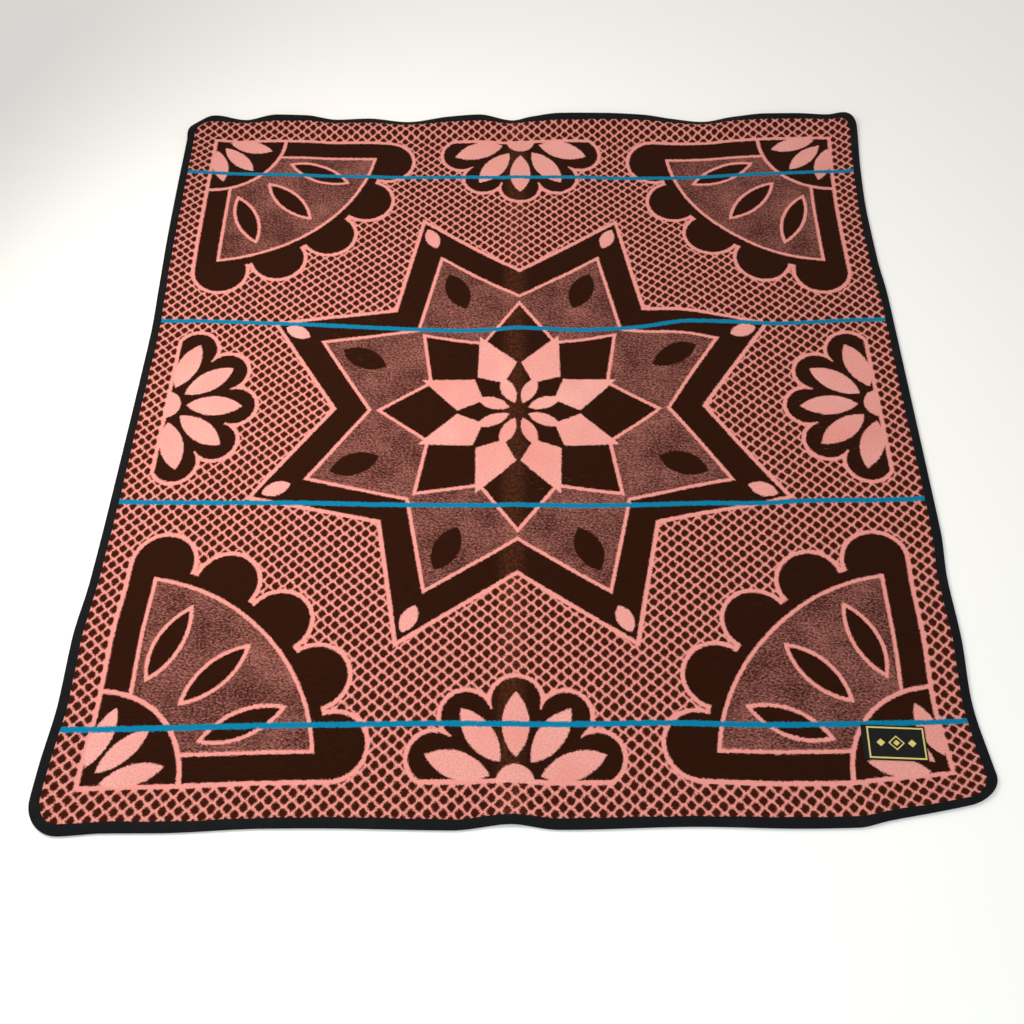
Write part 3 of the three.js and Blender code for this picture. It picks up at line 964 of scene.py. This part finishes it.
deselect()
bpy.ops.mesh.primitive_grid_add(x_subdivisions=GRID_COLUMNS, y_subdivisions=GRID_ROWS, size=2)
cloth = bpy.context.object
cloth.name = "wool_cloth"
mesh = cloth.data
points = read_points(mesh)
square_x, square_y = points[:, 0] * (WIDTH / 2 - CUT_IN), points[:, 1] * (LENGTH / 2 - CUT_IN)
flat_x, flat_y = rounded(square_x, square_y, CUT_IN)
inward = from_edge(flat_x, flat_y)
rim = RIM_HEIGHT * (1 - ease(TAPE_REACH, RIM_FOOT, inward))
from_label = np.hypot(flat_x - LABEL_PLACE[0], flat_y - LABEL_PLACE[1])
soft = hand_creases(flat_x, flat_y) * ease(TAPE_REACH, CREASES_FULL, inward)
soft *= ease(FLAT_ROUND_LABEL, CREASED_ROUND_LABEL, from_label)
laid_x, laid_y = laid_plan(flat_x, flat_y)
points[:, 0] = laid_x + SHIFT_X
points[:, 1] = laid_y + SHIFT_Y
points[:, 2] = lift(flat_x, flat_y) + rim + soft
mesh.vertices.foreach_set("co", points.ravel())
map_in_metres(mesh, CLOTH_MAP, flat_x, flat_y - row_waves(flat_x, flat_y))
print("cloth:", len(mesh.polygons), "faces, one layer")

# %% [markdown]
# The cloth is three millimetres thick. Solidify alone moves each point square to the surface,
# and on the slopes of a wave that would push the cloth sideways through the tape. So its upper
# face is then put straight above the lower one. The underside takes the second material.

# %% Thickness of the cloth
FACES_DOWN = -0.3

mesh.materials.append(wool_front)
mesh.materials.append(wool_back)
thicken(cloth, CLOTH_THICKNESS)
points = read_points(mesh)
lower, upper = sorted(points.reshape(2, -1, 3), key=lambda side: side[:, 2].mean())
upper[:] = lower + (0, 0, CLOTH_THICKNESS)
mesh.vertices.foreach_set("co", points.ravel())
mesh.update()
for face in mesh.polygons:
    face.use_smooth = True
    face.material_index = 1 if face.normal.z < FACES_DOWN else 0
print("cloth:", len(mesh.polygons), "faces, height", round(max(v.co.z for v in mesh.vertices), 4))

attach(cloth, "root")
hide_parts("blanket_cloth")

# %% [markdown]
# The binding is a soft black braid. Its ribs run across it, and it catches a little lint. A
# picture of a braid would stretch at the corners. So the ribs are sine waves along the tape's
# own length, in metres, and noise makes them waver. The black is painted lighter on the ribs and
# darker between them, a painted highlight and painted shade.

# %% Tape material
TAPE_MAP = "tape_metres"
RIB_PITCH = 0.0042
CROSS_PITCH = 0.0016
RIB_WAVER = 0.0012


def tape_material():
    material, n, shader, place = new_finish("braid_tape", TAPE_MAP)
    along, over, _ = n.split(place)
    waver = n.math("MULTIPLY_ADD", n.noise(place, scale=90), RIB_WAVER, along)
    rib = n.math("SINE", n.math("MULTIPLY", waver, 2 * math.pi / RIB_PITCH))
    cross = n.math("SINE", n.math("MULTIPLY", over, 2 * math.pi / CROSS_PITCH))
    braid = n.math("MULTIPLY_ADD", cross, 0.35, rib)
    lint = n.noise(place, scale=700, detail=3, roughness=0.7)
    worn = n.noise(place, scale=25, detail=2, roughness=0.5)
    # Painted shade between the ribs and a painted highlight on them.
    colour = n.mix(n.spread(braid, -1.2, 1.2, to_high=0.8), srgb(4, 4, 5), srgb(18, 19, 23))
    colour = n.mix(n.spread(worn, 0.5, 0.75, to_high=0.35), colour, srgb(27, 26, 28))
    colour = n.mix(n.spread(lint, 0.68, 0.78, to_high=0.5), colour, srgb(74, 70, 70))
    n.put(shader.inputs["Base Color"], colour)
    height = n.math("MULTIPLY_ADD", lint, 0.5, n.math("MULTIPLY", braid, 0.35))
    raise_threads(n, shader, height, strength=0.6, distance=0.0005)
    shader.inputs["Roughness"].default_value = 0.88
    shader.inputs["Specular IOR Level"].default_value = 0.18
    return material


braid_tape = tape_material()
print("tape material:", braid_tape.name)

# %% [markdown]
# The tape is folded lengthwise over the edge and sewn through, so it lies on both faces. A
# curve with a bevel would turn the section on the waves. So the points of a C-shaped section
# are carried round the edge one by one, straight up and down, where the cloth's own tables
# put them. The fold is rounded.

# %% Section of the tape
TAPE_HEIGHT = 2 * (TAPE_THICKNESS + FIT) + CLOTH_THICKNESS
NOSE_POINTS = 7
FOLD_END = 0.010
THIN_EDGE = 0.0004
EDGE_ROLL = 0.001
STRETCHED = 0.00015


def tape_section():
    """The outer face from the lower inner edge round the fold to the upper one, then back inside.

    The upper half is pulled over the edge, so it is stretched a little thinner.
    """
    half = TAPE_HEIGHT / 2
    rolled = TAPE_REACH - EDGE_ROLL
    outer = [(TAPE_REACH, THIN_EDGE), (rolled, 0.0), (FOLD_END, 0.0)]
    for step in range(NOSE_POINTS):
        angle = math.pi * (step / (NOSE_POINTS - 1))
        outer.append((half - half * math.sin(angle), half - half * math.cos(angle)))
    outer += [(FOLD_END, TAPE_HEIGHT), (rolled, TAPE_HEIGHT), (TAPE_REACH, TAPE_HEIGHT - THIN_EDGE)]
    upper = TAPE_HEIGHT - TAPE_THICKNESS + STRETCHED
    inner = [(TAPE_REACH, upper), (FOLD_END, upper), (TAPE_THICKNESS, upper)]
    inner += [(TAPE_THICKNESS, TAPE_THICKNESS), (FOLD_END, TAPE_THICKNESS), (TAPE_REACH, TAPE_THICKNESS)]
    return outer + inner


section = tape_section()
print("points of the section:", len(section), "tape height:", round(TAPE_HEIGHT, 4))

# %% [markdown]
# A hand-fed tape wanders by up to a millimetre, so its inner edge does too. A straight one
# would be simpler but looks moulded. The faces between two sections close to a ring, because
# no join of the tape shows.

# %% The binding, carried round the edge
WANDERS_FROM = 0.012

# Columns: how far, over what length, where the wave starts
WANDER_WAVES = [(0.0005, 0.37, 0), (0.0004, 0.083, 1)]

station_count, section_count = len(feet), len(section)
tape_points = np.empty((station_count, section_count, 3))
run = np.arange(station_count) * STATION_SPACING
wander = sum(far * np.sin(run * 2 * math.pi / over + start) for far, over, start in WANDER_WAVES)
for k, (inset, height) in enumerate(section):
    inset = inset + (wander if inset > WANDERS_FROM else 0)
    flat = feet + outwards * np.reshape(CORNER_RADIUS - inset, (-1, 1))
    tape_x, tape_y = laid_plan(*flat.T)
    tape_points[:, k, 0] = tape_x + SHIFT_X
    tape_points[:, k, 1] = tape_y + SHIFT_Y
    tape_points[:, k, 2] = lift(*flat.T) + height
faces = []
for i in range(station_count):
    here, there = i * section_count, (i + 1) % station_count * section_count
    for k in range(section_count):
        above = (k + 1) % section_count
        faces.append((here + k, there + k, there + above, here + above))
tape_mesh = bpy.data.meshes.new("edge_tape")
tape_mesh.from_pydata(tape_points.reshape(-1, 3).tolist(), [], faces)
tape = bpy.data.objects.new("edge_tape", tape_mesh)
bpy.context.scene.collection.objects.link(tape)
print("tape:", len(tape_mesh.polygons), "faces")

# %% [markdown]
# The ribs need to know how far along the tape and how far round its section each point is.
# An unwrap would tilt them, so the UV map is written from these two lengths, in metres.

# %% Finish of the binding
around = [0.0]
for k in range(section_count):
    around.append(around[-1] + math.dist(section[k], section[(k + 1) % section_count]))
tape_map = tape_mesh.uv_layers.new(name=TAPE_MAP)
coordinates = []
for i in range(station_count):
    start, end = i * STATION_SPACING, (i + 1) * STATION_SPACING
    for k in range(section_count):
        low, high = around[k], around[k + 1]
        coordinates += [start, low, end, low, end, high, start, high]
tape_map.uv.foreach_set("vector", coordinates)
tape_mesh.materials.append(braid_tape)
deselect()
tape.select_set(True)
bpy.context.view_layer.objects.active = tape
bpy.ops.object.shade_smooth_by_angle(angle=math.radians(50))
print("tape on its section:", round(around[-1], 4), "m round")

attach(tape, "root")
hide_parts("edge_binding")

# %% [markdown]
# The label is a small black weave with a gold frame. The words of a real one are left off,
# and three plain lozenges stand in their place. They could be raised thread, but at this size
# they are only colour, drawn with distances as the large figures are.

# %% Label material
LABEL_MAP = "label_metres"
LABEL_THREAD_X = 0.0005
LABEL_THREAD_Y = 0.0004
LABEL_ROW_PITCH = 0.0008
LABEL_BLUR = 0.0006
GOLD_HALF_WIDTH = 0.0462
GOLD_HALF_HEIGHT = 0.0262
GOLD_CENTRE_X = 0.0030
GOLD_LINE = 0.0013
GOLD_LINE_INSET = 0.0011
BIG_LOZENGE = 0.0135
BIG_LINE = 0.0014
BIG_LINE_INSET = 0.0015
CORE_LOZENGE = 0.0055
SIDE_LOZENGE = 0.0070
SIDE_LOZENGE_AT = 0.0255
LOZENGE_SLOPE = 1.1
GOLD_EDGE = 0.0002


def label_material():
    material, n, shader, place = new_finish("label_weave", LABEL_MAP)
    stepped = n.vector("SNAP", place, (LABEL_THREAD_X, LABEL_THREAD_Y, 1.0))
    fibres = n.noise(place, scale=1800, detail=1, roughness=0.5, output="Color")
    blur = n.vector("SUBTRACT", fibres, (0.5, 0.5, 0.5))
    x, y, _ = n.split(n.vector("ADD", stepped, n.vector("SCALE", blur, scale=LABEL_BLUR)))
    x = n.math("ABSOLUTE", n.math("SUBTRACT", x, GOLD_CENTRE_X))
    y = n.math("ABSOLUTE", y)

    def lozenge(across, size):
        return n.math("SUBTRACT", n.math("MULTIPLY_ADD", y, LOZENGE_SLOPE, across), size)

    def outline(distance, inset, half_width):
        return n.math("SUBTRACT", n.math("ABSOLUTE", n.math("ADD", distance, inset)), half_width)

    past_x = n.math("SUBTRACT", x, GOLD_HALF_WIDTH)
    past_y = n.math("SUBTRACT", y, GOLD_HALF_HEIGHT)
    frame_line = outline(n.math("MAXIMUM", past_x, past_y), GOLD_LINE_INSET, GOLD_LINE)
    big_line = outline(lozenge(x, BIG_LOZENGE), BIG_LINE_INSET, BIG_LINE)
    small = lozenge(n.math("ABSOLUTE", n.math("SUBTRACT", x, SIDE_LOZENGE_AT)), SIDE_LOZENGE)
    lines = n.math("MINIMUM", frame_line, big_line)
    solids = n.math("MINIMUM", small, lozenge(x, CORE_LOZENGE))
    gold = n.spread(n.math("MINIMUM", lines, solids), GOLD_EDGE, -GOLD_EDGE)

    grain = n.noise(place, scale=2600, detail=1, roughness=0.5)
    black = n.mix(grain, srgb(4, 4, 5), srgb(17, 17, 18))
    thread = n.mix(grain, srgb(178, 152, 66), srgb(240, 222, 136))
    n.put(shader.inputs["Base Color"], n.mix(gold, black, thread))
    rows = n.math("SINE", n.math("MULTIPLY", n.split(place)[1], 2 * math.pi / LABEL_ROW_PITCH))
    height = n.math("ADD", n.math("MULTIPLY", rows, 0.3), n.math("MULTIPLY", gold, 0.8))
    raise_threads(n, shader, height, strength=0.5, distance=0.0003)
    shader.inputs["Roughness"].default_value = 0.65
    shader.inputs["Specular IOR Level"].default_value = 0.2
    return material


label_weave = label_material()
print("label material:", label_weave.name)

# %% [markdown]
# The label is sewn flat on the face near one corner, turned by two degrees. A plain box would
# look like plastic, so it starts as a grid too. It ripples by a fifth of a millimetre, and its
# corners curl up a little.

# %% The label
LABEL_WIDTH = 0.104
LABEL_HEIGHT = 0.058
LABEL_THICKNESS = 0.0009
LABEL_TURN = math.radians(-2)
RIPPLE = 0.00012
RIPPLE_X = 0.021
RIPPLE_Y = 0.017
CORNER_CURL = 0.0002
ABOVE_CLOTH = FIT + 0.00025

deselect()
bpy.ops.mesh.primitive_grid_add(x_subdivisions=52, y_subdivisions=29, size=2)
label = bpy.context.object
label.name = "sewn_label"
mesh = label.data
points = read_points(mesh)
flat_x, flat_y = points[:, 0] * LABEL_WIDTH / 2, points[:, 1] * LABEL_HEIGHT / 2
near_corner = ease(0.70, 1.0, np.abs(points[:, 0])) * ease(0.55, 1.0, np.abs(points[:, 1]))
waves = np.sin(flat_x * 2 * math.pi / RIPPLE_X) + np.sin(flat_y * 2 * math.pi / RIPPLE_Y + 1)
turned_x = flat_x * math.cos(LABEL_TURN) - flat_y * math.sin(LABEL_TURN)
turned_y = flat_x * math.sin(LABEL_TURN) + flat_y * math.cos(LABEL_TURN)
points[:, 0] = turned_x + LABEL_PLACE[0] + SHIFT_X
points[:, 1] = turned_y + LABEL_PLACE[1] + SHIFT_Y
points[:, 2] = CLOTH_THICKNESS + ABOVE_CLOTH + RIPPLE * waves + CORNER_CURL * near_corner
mesh.vertices.foreach_set("co", points.ravel())
map_in_metres(mesh, LABEL_MAP, flat_x, flat_y)
mesh.materials.append(label_weave)
thicken(label, LABEL_THICKNESS)
bpy.ops.object.shade_smooth_by_angle(angle=math.radians(40))
print("label:", len(mesh.polygons), "faces")

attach(label, "root")
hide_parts("woven_label")
